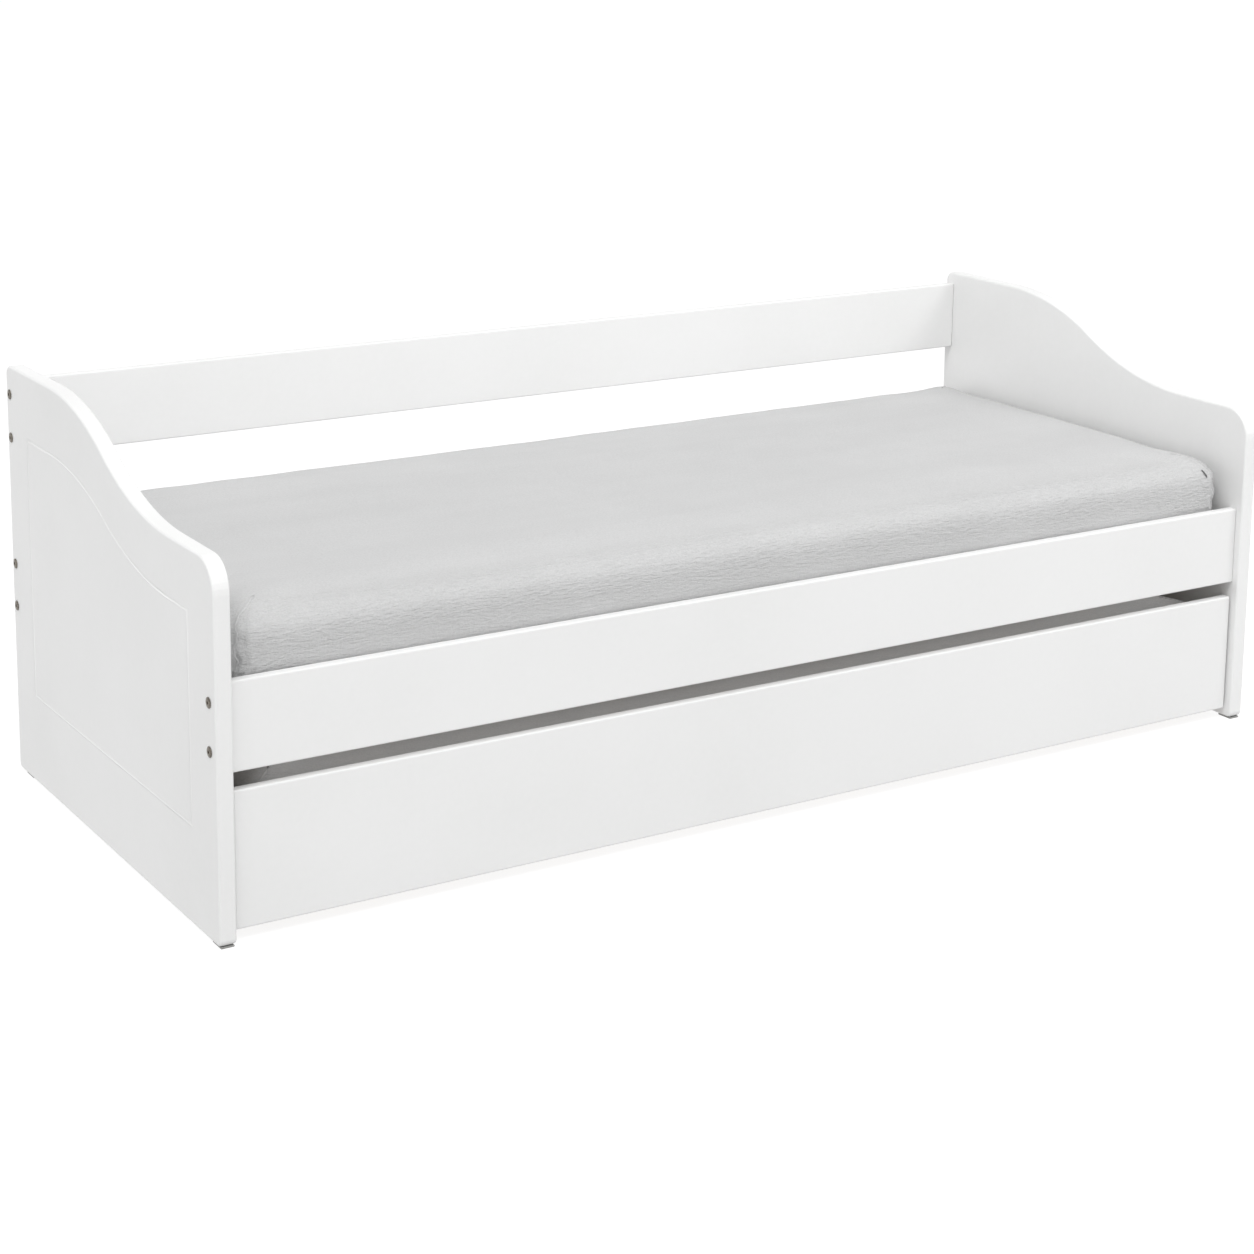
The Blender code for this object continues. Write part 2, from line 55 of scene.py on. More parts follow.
class Finish:
    """A Principled material that reads its patterns from the piece's own coordinates, in metres."""

    MIX_SHARE, MIX_FIRST, MIX_SECOND = 0, 6, 7
    MIX_COLOUR_RESULT = 2

    def __init__(self, name, **sockets):
        self.material = bpy.data.materials.new(name)
        self.material.use_nodes = True
        self.tree = self.material.node_tree
        self.shader = self.tree.nodes["Principled BSDF"]
        for socket, value in sockets.items():
            self.shader.inputs[socket.replace("_", " ")].default_value = value
        self.place = self.add("ShaderNodeTexCoord").outputs["Object"]

    def add(self, kind, links=None, **settings):
        node = self.tree.nodes.new(kind)
        for key, value in settings.items():
            if key in node.inputs:
                node.inputs[key].default_value = value
            else:
                setattr(node, key, value)
        for socket, source in (links or {}).items():
            self.tree.links.new(source, node.inputs[socket])
        return node

    def stretched(self, scale):
        """The piece's coordinates, with the pattern's repeats per metre along each axis."""
        node = self.add("ShaderNodeMapping", {"Vector": self.place})
        node.inputs["Scale"].default_value = scale
        return node.outputs["Vector"]

    def noise(self, scale, detail=3.0, roughness=0.5, distortion=0.0):
        scale = (scale, scale, scale) if isinstance(scale, (int, float)) else scale
        node = self.add("ShaderNodeTexNoise", {"Vector": self.stretched(scale)}, Scale=1.0)
        node.inputs["Detail"].default_value = detail
        node.inputs["Roughness"].default_value = roughness
        node.inputs["Distortion"].default_value = distortion
        return node.outputs["Fac"]

    def spread(self, value, low, high, to_low=0.0, to_high=1.0):
        """The value's range from low to high, mapped to a new range and held within it."""
        node = self.add("ShaderNodeMapRange", {"Value": value}, clamp=True)
        ends = {"From Min": low, "From Max": high, "To Min": to_low, "To Max": to_high}
        for socket, number in ends.items():
            node.inputs[socket].default_value = number
        return node.outputs["Result"]

    def ramp(self, value, *stops):
        """Colours by value: each stop is (position, (red, green, blue))."""
        node = self.add("ShaderNodeValToRGB", {"Fac": value})
        elements = node.color_ramp.elements
        while len(elements) < len(stops):
            elements.new(0.5)
        for element, (position, colour) in zip(elements, stops):
            element.position = position
            element.color = (*colour, 1.0)
        return node.outputs["Color"]

    def math(self, operation, first, second):
        node = self.add("ShaderNodeMath", operation=operation)
        for socket, value in zip(node.inputs, (first, second)):
            if isinstance(value, (int, float)):
                socket.default_value = value
            else:
                self.tree.links.new(value, socket)
        return node.outputs["Value"]

    def mix(self, share, first, second, blend="MIX"):
        node = self.add("ShaderNodeMix", data_type="RGBA", blend_type=blend)
        for socket, value in ((self.MIX_SHARE, share), (self.MIX_FIRST, first), (self.MIX_SECOND, second)):
            if isinstance(value, (int, float)):
                node.inputs[socket].default_value = value
            elif isinstance(value, tuple):
                node.inputs[socket].default_value = (*value, 1.0)
            else:
                self.tree.links.new(value, node.inputs[socket])
        return node.outputs[self.MIX_COLOUR_RESULT]

    def colour(self, source):
        self.tree.links.new(source, self.shader.inputs["Base Color"])

    def roughness(self, source):
        self.tree.links.new(source, self.shader.inputs["Roughness"])

    def bump(self, *layers):
        """Layers of (height source, depth in metres, strength), one on the other."""
        normal = None
        for source, depth, strength in layers:
            links = {"Height": source}
            if normal is not None:
                links["Normal"] = normal
            node = self.add("ShaderNodeBump", links, Distance=depth, Strength=strength)
            normal = node.outputs["Normal"]
        self.tree.links.new(normal, self.shader.inputs["Normal"])

    def waves(self, scale, period, distortion=0.0, direction="X"):
        """Bands across one axis, one per period in metres before the stretch."""
        node = self.add(
            "ShaderNodeTexWave", {"Vector": self.stretched(scale)}, bands_direction=direction,
        )
        node.inputs["Scale"].default_value = 2 * math.pi / (WAVE_NODE_RATE * period)
        node.inputs["Distortion"].default_value = distortion
        return node.outputs["Fac"]

    def attribute(self, name):
        return self.add("ShaderNodeAttribute", attribute_name=name).outputs["Fac"]


def lacquer_finish(name, lift):
    """White satin lacquer on smooth board: faint clouding and a fine sprayed texture. A raised lift gives
    a lighter copy, used as a painted highlight.
    """
    finish = Finish(name, Coat_Weight=0.12, Coat_Roughness=0.22)
    cloud = finish.noise(2.6, detail=4.0)
    fleck = finish.noise(90, detail=2.0)
    tint = finish.math("ADD", finish.math("MULTIPLY", cloud, 0.8), finish.math("MULTIPLY", fleck, 0.2))
    finish.colour(finish.ramp(
        tint,
        (0.30, (0.775 + lift, 0.777 + lift, 0.772 + lift)),
        (0.52, (0.800 + lift, 0.801 + lift, 0.798 + lift)),
        (0.75, (0.818 + lift, 0.819 + lift, 0.817 + lift)),
    ))
    rub = finish.noise((30, 7, 7), detail=4.0, roughness=0.6)
    finish.roughness(finish.spread(rub, 0.3, 0.7, 0.33, 0.46))
    peel = finish.noise(240, detail=2.0, roughness=0.4)
    sway = finish.noise(9, detail=2.0)
    finish.bump((peel, 0.00012, 0.30), (sway, 0.0012, 0.10))
    return finish.material


def pine_finish(name, along):
    """Planed pine: growth bands, fine fibres and a few knots, with the grain along one axis."""
    finish = Finish(name)
    lane, fine = ((1.1, 16, 16), (14, 420, 420)) if along == "x" else ((16, 1.1, 16), (420, 14, 420))
    swirl = finish.noise(lane, detail=3.0, distortion=0.6)
    bands = finish.math("PINGPONG", finish.math("MULTIPLY", swirl, 9.0), 0.5)
    bands = finish.math("MULTIPLY", bands, 2.0)
    fibre = finish.noise(fine, detail=3.0, roughness=0.6)
    grain = finish.ramp(
        bands,
        (0.0, (0.640, 0.440, 0.235)),
        (0.55, (0.700, 0.505, 0.290)),
        (1.0, (0.520, 0.320, 0.140)),
    )
    fibres = finish.ramp(fibre, (0.30, (0.80, 0.78, 0.74)), (0.70, (1.0, 1.0, 1.0)))
    wood = finish.mix(1.0, grain, fibres, "MULTIPLY")
    spots = finish.add("ShaderNodeTexVoronoi", {"Vector": finish.stretched((5.5, 5.5, 5.5))}, Scale=1.0)
    knot = finish.spread(spots.outputs["Distance"], 0.035, 0.075, 1.0, 0.0)
    finish.colour(finish.mix(knot, wood, (0.230, 0.110, 0.045)))
    finish.roughness(finish.spread(fibre, 0.3, 0.7, 0.50, 0.68))
    finish.bump((fibre, 0.00025, 0.45), (bands, 0.0002, 0.20))
    return finish.material


def jersey_finish():
    """Light grey cotton jersey: heathered knit, soft streaks and crinkles where the sheet is pulled, with
    painted shade in the crinkles' valleys.
    """
    finish = Finish("grey_jersey_sheet", Sheen_Weight=0.12, Sheen_Roughness=0.5)
    heather = finish.noise((330, 330, 330), detail=3.0, roughness=0.65)
    streak = finish.noise((1.5, 11, 11), detail=4.0, roughness=0.55)
    patch = finish.noise(7, detail=3.0)
    crinkle = finish.noise((58, 225, 225), detail=3.0, roughness=0.60, distortion=0.35)
    fold = finish.attribute("crinkle")
    base = finish.ramp(
        heather,
        (0.25, (0.480, 0.481, 0.482)),
        (0.50, (0.535, 0.536, 0.537)),
        (0.75, (0.584, 0.585, 0.586)),
    )
    soft = finish.ramp(streak, (0.30, (0.950, 0.950, 0.950)), (0.70, (1.0, 1.0, 1.0)))
    worn = finish.ramp(patch, (0.30, (0.965, 0.965, 0.965)), (0.70, (1.0, 1.0, 1.0)))
    # Painted shade: the crinkles' valleys are mixed towards a darker grey where the crinkle map is strong.
    valley = finish.math("MULTIPLY", finish.spread(crinkle, 0.32, 0.50, 1.0, 0.0), fold)
    cloth = finish.mix(1.0, finish.mix(1.0, base, soft, "MULTIPLY"), worn, "MULTIPLY")
    finish.colour(finish.mix(finish.math("MULTIPLY", valley, 0.14), cloth, (0.330, 0.332, 0.335)))
    finish.roughness(finish.spread(heather, 0.3, 0.7, 0.84, 0.95))
    wales = finish.waves((1, 0.12, 0.12), 0.0022, distortion=1.2)
    courses = finish.waves((0.12, 1, 1), 0.0030, distortion=1.6, direction="DIAGONAL")
    knit = finish.math("ADD", wales, finish.math("MULTIPLY", courses, 0.6))
    pulled = finish.math("MULTIPLY", crinkle, finish.math("ADD", fold, 0.14))
    finish.bump(
        (streak, 0.010, 0.10), (pulled, 0.0040, 0.65), (heather, 0.0006, 0.35), (knit, 0.0003, 0.30),
    )
    return finish.material


def ticking_finish():
    """The mattress's own off-white woven cover, which shows under the sheet's elastic edge."""
    finish = Finish("mattress_ticking", Sheen_Weight=0.08)
    warp = finish.waves((1, 1, 1), 0.0026, distortion=0.3)
    weft = finish.waves((1, 1, 1), 0.0026, distortion=0.3, direction="Y")
    weave = finish.math("MULTIPLY", warp, weft)
    tone = finish.noise(60, detail=3.0)
    finish.colour(finish.ramp(tone, (0.30, (0.640, 0.630, 0.600)), (0.70, (0.720, 0.712, 0.690))))
    finish.roughness(finish.spread(tone, 0.3, 0.7, 0.80, 0.92))
    finish.bump((weave, 0.0004, 0.5), (tone, 0.0015, 0.2))
    return finish.material


def metal_finish(name, dark, light, rough, brush):
    """A plated or browned metal with fine brushing and small scratches."""
    finish = Finish(name, Metallic=1.0)
    cloud = finish.noise(brush, detail=4.0, roughness=0.65)
    scratch = finish.noise((900, 160, 160), detail=2.0, roughness=0.7)
    finish.colour(finish.ramp(cloud, (0.28, dark), (0.72, light)))
    finish.roughness(finish.spread(scratch, 0.25, 0.75, rough - 0.08, rough + 0.12))
    finish.bump((scratch, 0.00005, 0.35), (cloud, 0.0001, 0.15))
    return finish.material


def plastic_finish(name, dark, light, rough):
    """Moulded plastic with a fine eroded grain."""
    finish = Finish(name)
    grain = finish.noise(700, detail=2.0, roughness=0.6)
    cloud = finish.noise(35, detail=3.0)
    finish.colour(finish.ramp(cloud, (0.30, dark), (0.70, light)))
    finish.roughness(finish.spread(grain, 0.3, 0.7, rough - 0.06, rough + 0.08))
    finish.bump((grain, 0.00012, 0.4))
    return finish.material


lacquer = lacquer_finish("white_lacquer_satin", 0.0)
# A lighter copy of the lacquer for the routed lines: painted highlight.
groove_highlight_lacquer = lacquer_finish("white_lacquer_painted_groove_highlight", 0.065)
pine_along_x = pine_finish("slat_pine_lengthwise", "x")
pine_along_y = pine_finish("slat_pine_crosswise", "y")
jersey = jersey_finish()
ticking = ticking_finish()
bronze = metal_finish("bolt_bronzed_steel", (0.105, 0.093, 0.078), (0.230, 0.205, 0.172), 0.27, 260)
zinc = metal_finish("zinc_plated_steel", (0.520, 0.530, 0.545), (0.700, 0.705, 0.710), 0.36, 120)
glide_grey = plastic_finish(
    "glide_moulded_plastic", (0.240, 0.238, 0.232), (0.310, 0.308, 0.300), 0.52,
)
tab_grey = plastic_finish("woven_tab", (0.075, 0.075, 0.078), (0.120, 0.120, 0.124), 0.80)
tread_grey = plastic_finish("wheel_soft_tread", (0.050, 0.050, 0.052), (0.080, 0.080, 0.083), 0.62)
hub_grey = plastic_finish("wheel_moulded_hub", (0.300, 0.302, 0.305), (0.370, 0.372, 0.375), 0.42)


# Carried-over CAD nodes

def cad_finish(name):
    if "slat_ledge" in name or "bearer" in name:
        return pine_along_x
    if "slat" in name:
        return pine_along_y
    if "glide" in name:
        return glide_grey
    if "bolt" in name:
        return bronze
    if "bracket" in name:
        return zinc
    if "wheel" in name:
        return tread_grey
    if "mattress" in name:
        return jersey
    return lacquer


for node_name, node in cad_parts.items():
    node.data.materials.clear()
    node.data.materials.append(cad_finish(node_name))


# Mesh helpers

SOFTENED_ANGLE = 35


def new_piece(name, mesh, material, smooth=True):
    piece = bpy.data.objects.new(name, mesh)
    bpy.context.scene.collection.objects.link(piece)
    mesh.materials.clear()
    mesh.materials.append(material)
    if smooth:
        mesh.shade_smooth()
    return piece


def mesh_from(name, vertices, faces):
    mesh = bpy.data.meshes.new(name)
    mesh.from_pydata([tuple(v) for v in vertices], [], faces)
    shape = bmesh.new()
    shape.from_mesh(mesh)
    bmesh.ops.recalc_face_normals(shape, faces=shape.faces)
    shape.to_mesh(mesh)
    shape.free()
    return mesh


def circle(sides):
    """The angles of a ring's points, in equal steps."""
    return [2 * math.pi * i / sides for i in range(sides)]


def ring_about_x(x, radius, sides):
    """A ring of points about the X axis, whose radius is a number or a function of the angle."""
    ring = []
    for angle in circle(sides):
        reach = radius(angle) if callable(radius) else radius
        ring.append((x, reach * math.cos(angle), reach * math.sin(angle)))
    return ring


def loft(rings, closed_along=False):
    """Quads between rings of equal length, with end caps unless the rings close on themselves."""
    count = len(rings[0])
    vertices = [point for ring in rings for point in ring]
    faces = []
    for i in range(len(rings) if closed_along else len(rings) - 1):
        here, there = i * count, (i + 1) % len(rings) * count
        for j in range(count):
            k = (j + 1) % count
            faces.append((here + j, here + k, there + k, there + j))
    if not closed_along:
        faces.append(tuple(range(count))[::-1])
        faces.append(tuple((len(rings) - 1) * count + j for j in range(count)))
    return vertices, faces


def turned(profile, sides):
    """A closed profile of (radius, x) turned about the X axis."""
    return loft([ring_about_x(x, radius, sides) for radius, x in profile], closed_along=True)


class Parts:
    """Several closed shapes, each as (vertices, faces), gathered into one mesh."""

    def __init__(self):
        self.vertices = []
        self.faces = []

    def add(self, shape, place=None):
        vertices, faces = shape
        start = len(self.vertices)
        place = place or Matrix.Identity(4)
        self.vertices += [tuple(place @ Vector(v)) for v in vertices]
        self.faces += [tuple(start + i for i in face) for face in faces]

    def mesh(self, name):
        return mesh_from(name, self.vertices, self.faces)


def soften(piece, width, segments=2):
    """Rounds the piece's sharp edges and keeps its flat faces flat in shading."""
    bevel = piece.modifiers.new("eased_edges", "BEVEL")
    bevel.width = width
    bevel.segments = segments
    bevel.limit_method = "ANGLE"
    bevel.angle_limit = math.radians(SOFTENED_ANGLE)
    normals = piece.modifiers.new("flat_faces", "WEIGHTED_NORMAL")
    normals.keep_sharp = True


# Mattresses

VOXEL = 0.0125
SIM_FRAMES = 20
HELD_HEIGHT = 0.006
PRESS_LIMIT = 0.012
PRESSURE = 4
HEM_INSET = 0.090
SHRINK = Vector((0.006, 0.005, 0.0125))
BOTTOM_EDGE = 0.016
SMALLEST_CORNER = 0.004
CORNER_STEPS = 12
BOTTOM_STEPS = 6
TOP_STEPS = 8
CORE_DEPTH = 0.005
CORE_MARGIN = 0.006
CORE_FLOOR = 0.001
SHEET_MARGIN = 0.0004


def plan_ring(low, high, inset, corner, z):
    """A rounded rectangle at height z, moved in from the box by inset."""
    radius = max(corner - inset, SMALLEST_CORNER)
    x0, x1 = low.x + inset + radius, high.x - inset - radius
    y0, y1 = low.y + inset + radius, high.y - inset - radius
    ring = []
    for cx, cy, start in ((x1, y1, 0), (x0, y1, 90), (x0, y0, 180), (x1, y0, 270)):
        for i in range(CORNER_STEPS + 1):
            angle = math.radians(start + 90 * i / CORNER_STEPS)
            ring.append((cx + radius * math.cos(angle), cy + radius * math.sin(angle), z))
    return ring


def mattress_block(name, low, high, corner, top_edge):
    """The resting shape that the cloth starts from, a little smaller than its box."""
    low = Vector((low.x + SHRINK.x, low.y + SHRINK.y, low.z))
    high = high - SHRINK
    rings = []
    for i in range(BOTTOM_STEPS + 1):
        angle = math.pi / 2 * i / BOTTOM_STEPS
        inset = BOTTOM_EDGE * (1 - math.sin(angle))
        z = low.z + BOTTOM_EDGE * (1 - math.cos(angle))
        rings.append(plan_ring(low, high, inset, corner, z))
    for i in range(TOP_STEPS + 1):
        angle = math.pi / 2 * i / TOP_STEPS
        inset = top_edge * (1 - math.cos(angle))
        z = high.z - top_edge * (1 - math.sin(angle))
        rings.append(plan_ring(low, high, inset, corner, z))
    return mesh_from(name, *loft(rings))


def applied(piece):
    """Turns the piece's modifiers into its mesh."""
    depsgraph = bpy.context.evaluated_depsgraph_get()
    mesh = bpy.data.meshes.new_from_object(piece.evaluated_get(depsgraph))
    piece.modifiers.clear()
    old = piece.data
    piece.data = mesh
    bpy.data.meshes.remove(old)


def read_vectors(mesh, field):
    """One row of three numbers for each of the mesh's points: its place, or its normal."""
    found = np.empty(len(mesh.vertices) * 3)
    mesh.vertices.foreach_get(field, found)
    return found.reshape(-1, 3)


def coordinates(mesh):
    return read_vectors(mesh, "co")


def set_coordinates(mesh, points):
    mesh.vertices.foreach_set("co", points.reshape(-1))
    mesh.update()


def inflate(piece, low):
    """Presses the cloth out from inside, its underside held flat and each point's travel capped."""
    rest = coordinates(piece.data)
    held = piece.vertex_groups.new(name="held")
    height = rest[:, 2] - low.z
    held.add([int(i) for i in np.nonzero(height < HELD_HEIGHT)[0]], 1.0, "REPLACE")
    cloth = piece.modifiers.new("sheet", "CLOTH")
    settings = cloth.settings
    settings.quality = 4
    settings.mass = 0.3
    settings.tension_stiffness = 12
    settings.compression_stiffness = 12
    settings.bending_stiffness = 0.4
    settings.use_pressure = True
    settings.uniform_pressure_force = PRESSURE
    settings.vertex_group_mass = "held"
    settings.effector_weights.gravity = 0
    cloth.collision_settings.use_collision = False
    scene = bpy.context.scene
    for number in range(1, SIM_FRAMES + 1):
        scene.frame_set(number)
    depsgraph = bpy.context.evaluated_depsgraph_get()
    moved = coordinates(piece.evaluated_get(depsgraph).data) - rest
    piece.modifiers.clear()
    piece.vertex_groups.clear()
    scene.frame_set(1)
    travel = np.linalg.norm(moved, axis=1, keepdims=True)
    moved *= np.minimum(1.0, PRESS_LIMIT / np.maximum(travel, 1e-9))
    set_coordinates(piece.data, rest + moved)


def smooth_step(value, start, end):
    share = np.clip((value - start) / (end - start), 0, 1)
    return share * share * (3 - 2 * share)


def make_mattress(label, body, corner, top_edge):
    """A foam mattress and its fitted jersey sheet, pressed out as cloth and then shaped."""
    node = f"{label}_mattress"
    low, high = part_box(node)
    core = new_piece(
        f"{node}_core", mattress_block(f"{node}_core", low, high, corner, top_edge), ticking,
    )
    remesh = core.modifiers.new("even_quads", "REMESH")
    remesh.mode = "VOXEL"
    remesh.voxel_size = VOXEL
    applied(core)
    inflate(core, low)
    calm = core.modifiers.new("calm", "SMOOTH")
    calm.factor = 0.5
    calm.iterations = 4
    applied(core)
    sheet = new_piece(f"{label}_fitted_sheet", core.data.copy(), jersey)
    rounder = sheet.modifiers.new("rounder", "SUBSURF")
    rounder.levels = 1
    rounder.render_levels = 1
    applied(sheet)
    sculpt(sheet, low, high)
    draw_in(core, low, high)
    open_underside(sheet, low, high)
    for piece, material in ((core, ticking), (sheet, jersey)):
        piece.data.shade_smooth()
        piece.data.materials.clear()
        piece.data.materials.append(material)
        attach(piece, body)
    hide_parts(node)
    seams = corner_seams(label, sheet, low, high, body)


def draw_in(core, low, high):
    """Moves the core's surface inwards along its normals, clear of the sheet over it."""
    points = coordinates(core.data) - CORE_DEPTH * read_vectors(core.data, "normal")
    for axis in range(3):
        least = low[axis] + (CORE_MARGIN if axis < 2 else CORE_FLOOR)
        points[:, axis] = np.clip(points[:, axis], least, high[axis] - CORE_MARGIN)
    set_coordinates(core.data, points)


def open_underside(sheet, low, high):
    """Leaves the sheet open under the mattress, inside its elastic edge."""
    shape = bmesh.new()
    shape.from_mesh(sheet.data)
    inner = []
    for face in shape.faces:
        centre = face.calc_center_median()
        inset = min(centre.x - low.x, high.x - centre.x, centre.y - low.y, high.y - centre.y)
        if inset > HEM_INSET and face.normal.z < -0.5:
            inner.append(face)
    bmesh.ops.delete(shape, geom=inner, context="FACES")
    shape.to_mesh(sheet.data)
    shape.free()


SEAM_STEPS = 60
SEAM_SIDES = 8
SEAM_HALF_WIDTH = 0.0024
SEAM_HALF_HEIGHT = 0.0013
SEAM_FROM_FLOOR = 0.012
SEAM_FROM_ENDS = 0.016
CORNER_PIVOT = 0.12
RAY_REACH = 0.4


def seam_rings(tree, low, high, sx, sy):
    """The rings of one corner's seam, which sways a little and swells at each stitch."""
    middle = (low + high) / 2
    outward = Vector((sx, sy, 0)).normalized()
    side = Vector((-outward.y, outward.x, 0))
    pivot = Vector((
        middle.x + sx * (high.x - middle.x - CORNER_PIVOT),
        middle.y + sy * (high.y - middle.y - CORNER_PIVOT),
        0,
    ))
    rings = []
    for i in range(SEAM_STEPS + 1):
        share = i / SEAM_STEPS
        sway = 0.0022 * math.sin(share * 23 + sx + sy) + 0.001 * math.sin(share * 61)
        start = pivot + outward * RAY_REACH + side * sway
        start.z = low.z + SEAM_FROM_FLOOR + share * (high.z - low.z - SEAM_FROM_ENDS)
        hit, normal, _, _ = tree.ray_cast(start, -outward)
        if hit is None:
            continue
        across = normal.cross(Vector((0, 0, 1)))
        across = across.normalized() if across.length > 0.1 else side
        lift = SEAM_HALF_HEIGHT * (1 + 0.25 * math.sin(share * 140))
        rings.append([
            hit + across * SEAM_HALF_WIDTH * math.cos(angle) + normal * lift * math.sin(angle)
            for angle in circle(SEAM_SIDES)
        ])
    return rings


def corner_seams(label, sheet, low, high, body):
    """A sewn, slightly puckered seam down each corner, found on the sheet's own surface."""
    tree = BVHTree.FromObject(sheet, bpy.context.evaluated_depsgraph_get())
    parts = Parts()
    for sx in (-1, 1):
        for sy in (-1, 1):
            parts.add(loft(seam_rings(tree, low, high, sx, sy)))
    seams = new_piece(f"{label}_sheet_corner_seams", parts.mesh("seams"), jersey)
    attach(seams, body)
    return seams


TAB_STEPS = 8
TAB_SIDES = 8
TAB_LENGTH = 0.013
TAB_DROP = 0.026
TAB_HALF_WIDTH = 0.0022
TAB_HALF_THICKNESS = 0.0006
TAB_BOW = 0.0012
TAB_ASIDE = 0.004


def add_corner_tab(low, high):
    """A small dark fabric loop sewn beside the seam at the main sheet's front right corner."""
    sheet = bpy.data.objects["main_fitted_sheet"]
    tree = BVHTree.FromObject(sheet, bpy.context.evaluated_depsgraph_get())
    outward = Vector((1, -1.4, 0)).normalized()
    side = Vector((1.4, 1, 0)).normalized()
    pivot = Vector((high.x - CORNER_PIVOT, low.y + CORNER_PIVOT, 0))
    rings = []
    for i in range(TAB_STEPS + 1):
        share = i / TAB_STEPS
        start = pivot + outward * RAY_REACH - side * TAB_ASIDE
        start.z = high.z - TAB_DROP - TAB_LENGTH * share
        hit, normal, _, _ = tree.ray_cast(start, -outward)
        centre = hit + normal * (TAB_HALF_THICKNESS + TAB_BOW * math.sin(math.pi * share))
        rings.append([
            centre
            + side * (TAB_HALF_WIDTH * math.cos(angle))
            + normal * (TAB_HALF_THICKNESS * math.sin(angle))
            for angle in circle(TAB_SIDES)
        ])
    parts = Parts()
    parts.add(loft(rings))
    tab = new_piece("main_sheet_corner_tab", parts.mesh("tab"), tab_grey)
    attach(tab, "frame")


BROAD_LUMPS = (5.5, 0.0016)
FINE_LUMPS = (15.0, 0.0007)
PLEAT_PERIOD = 0.023
PLEAT_HEIGHT = 0.0018
PLEAT_REACH = 0.055
BULGE_PERIOD = 0.034
BULGE_HEIGHT = 0.0016
BULGE_REACH = 0.05
BULGE_PHASE = 1.1
SEAM_DIP = 0.0020
SEAM_DIP_WIDTH = 0.008
CORNER_TUCK = 0.004


def fill_box(points, low, high):
    """Stretches the points along each axis until they reach the box's faces."""
    for axis in range(3):
        start, end = points[:, axis].min(), points[:, axis].max()
        first = low[axis] + (SHEET_MARGIN if axis < 2 else 0)
        reach = high[axis] - SHEET_MARGIN - first
        points[:, axis] = first + (points[:, axis] - start) / (end - start) * reach


def lumps(points):
    """Soft uneven swellings of the foam under the sheet."""
    lift = np.zeros(len(points))
    for i, point in enumerate(points):
        for rate, height in (BROAD_LUMPS, FINE_LUMPS):
            lift[i] += noise.noise(Vector(point) * rate) * height
    return lift


def sculpt(piece, low, high):
    """Corner gathers, soft lumps and the crinkle map, all held within the mattress's own box."""
    mesh = piece.data
    points = coordinates(mesh)
    normals = read_vectors(mesh, "normal")
    fill_box(points, low, high)
    to_end = np.minimum(points[:, 0] - low.x, high.x - points[:, 0])
    to_side = np.minimum(points[:, 1] - low.y, high.y - points[:, 1])
    to_top, to_floor = high.z - points[:, 2], points[:, 2] - low.z
    height = high.z - low.z
    near_corner = 1 - smooth_step(np.hypot(to_end, to_side), 0.045, 0.17)
    on_flank = smooth_step(to_top, 0.006, 0.030) * smooth_step(to_floor, 0.004, 0.030)
    along = to_end - to_side
    sway = 0.006 * np.sin(to_top * 60) + 0.004 * np.sin(to_top * 131)
    pleats = np.sin((along + sway) * 2 * math.pi / PLEAT_PERIOD) * np.exp(-np.abs(along) / PLEAT_REACH)
    bulges = np.sin(to_top * 2 * math.pi / BULGE_PERIOD + BULGE_PHASE)
    bulges *= np.exp(-to_side / BULGE_REACH) * (to_end < 0.03)
    dip = np.exp(-((along + sway * 0.3) / SEAM_DIP_WIDTH) ** 2)
    lift = lumps(points)
    lift += (pleats * PLEAT_HEIGHT + bulges * BULGE_HEIGHT - dip * SEAM_DIP) * near_corner * on_flank
    lift -= CORNER_TUCK * near_corner * smooth_step(to_top, height * 0.35, height * 0.95)
    lift *= smooth_step(to_floor, 0.001, 0.012)
    points = points + normals * lift[:, None]
    for axis in range(3):
        least = low[axis] + (SHEET_MARGIN if axis < 2 else 0)
        points[:, axis] = np.clip(points[:, axis], least, high[axis] - SHEET_MARGIN)
    set_coordinates(mesh, points)
    # The crinkle map: where the sheet's bump crinkles, and where painted shade darkens their valleys.
    upper = (1 - smooth_step(to_top, 0.050, 0.100)) * smooth_step(to_top, 0.000, 0.016)
    flank = 1 - smooth_step(to_side, 0.030, 0.085)
    fold = np.clip(flank * (0.25 + 0.75 * upper) + 0.9 * near_corner, 0, 1)
    crinkle = mesh.attributes.new("crinkle", "FLOAT", "POINT")
    crinkle.data.foreach_set("value", fold.astype(np.float32))


make_mattress("main", "frame", 0.052, 0.040)
make_mattress("trundle", "trundle", 0.045, 0.028)
add_corner_tab(*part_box("main_mattress"))


# Hardware

BOLT_SIDES = 48
BOLT_DOME = 0.0020
BOLT_TURN = 17
BOLT_HEAD_RINGS = (
    (0.0030, -0.0600), (0.0030, 0.0), (0.0085, 0.0), (0.0088, 0.0003), (0.0088, 0.0007),
    (0.0082, 0.0012), (0.0070, 0.0016), (0.0054, 0.0019), (0.0042, BOLT_DOME),
)
SOCKET_RINGS = (
    (0.0027, BOLT_DOME), (0.0025, BOLT_DOME - 0.0002), (0.0025, BOLT_DOME - 0.0015),
    (0.0012, BOLT_DOME - 0.0018),
)
SCREW_SIDES = 32
SCREW_HEAD = (0.0040, 0.0018)
BRACKET_SCREW_HEAD = (0.0036, 0.0016)
SCREW_SHANK = -0.004
SCREW_HEAD_RINGS = ((1.0, 0.25), (0.88, 0.70), (0.62, 0.95), (0.45, 1.0))
SCREW_CROSS_RINGS = ((0.43, 1.0), (0.36, 0.35))
NUT_SIDES = 40
NUT_RINGS = ((0.0070, -0.010), (0.0070, 0.0001), (0.0065, 0.0006), (0.0058, 0.0006))
NUT_SLOT = (0.0052, 0.0009)
NUT_SLOT_DEPTHS = (0.0006, -0.0012)
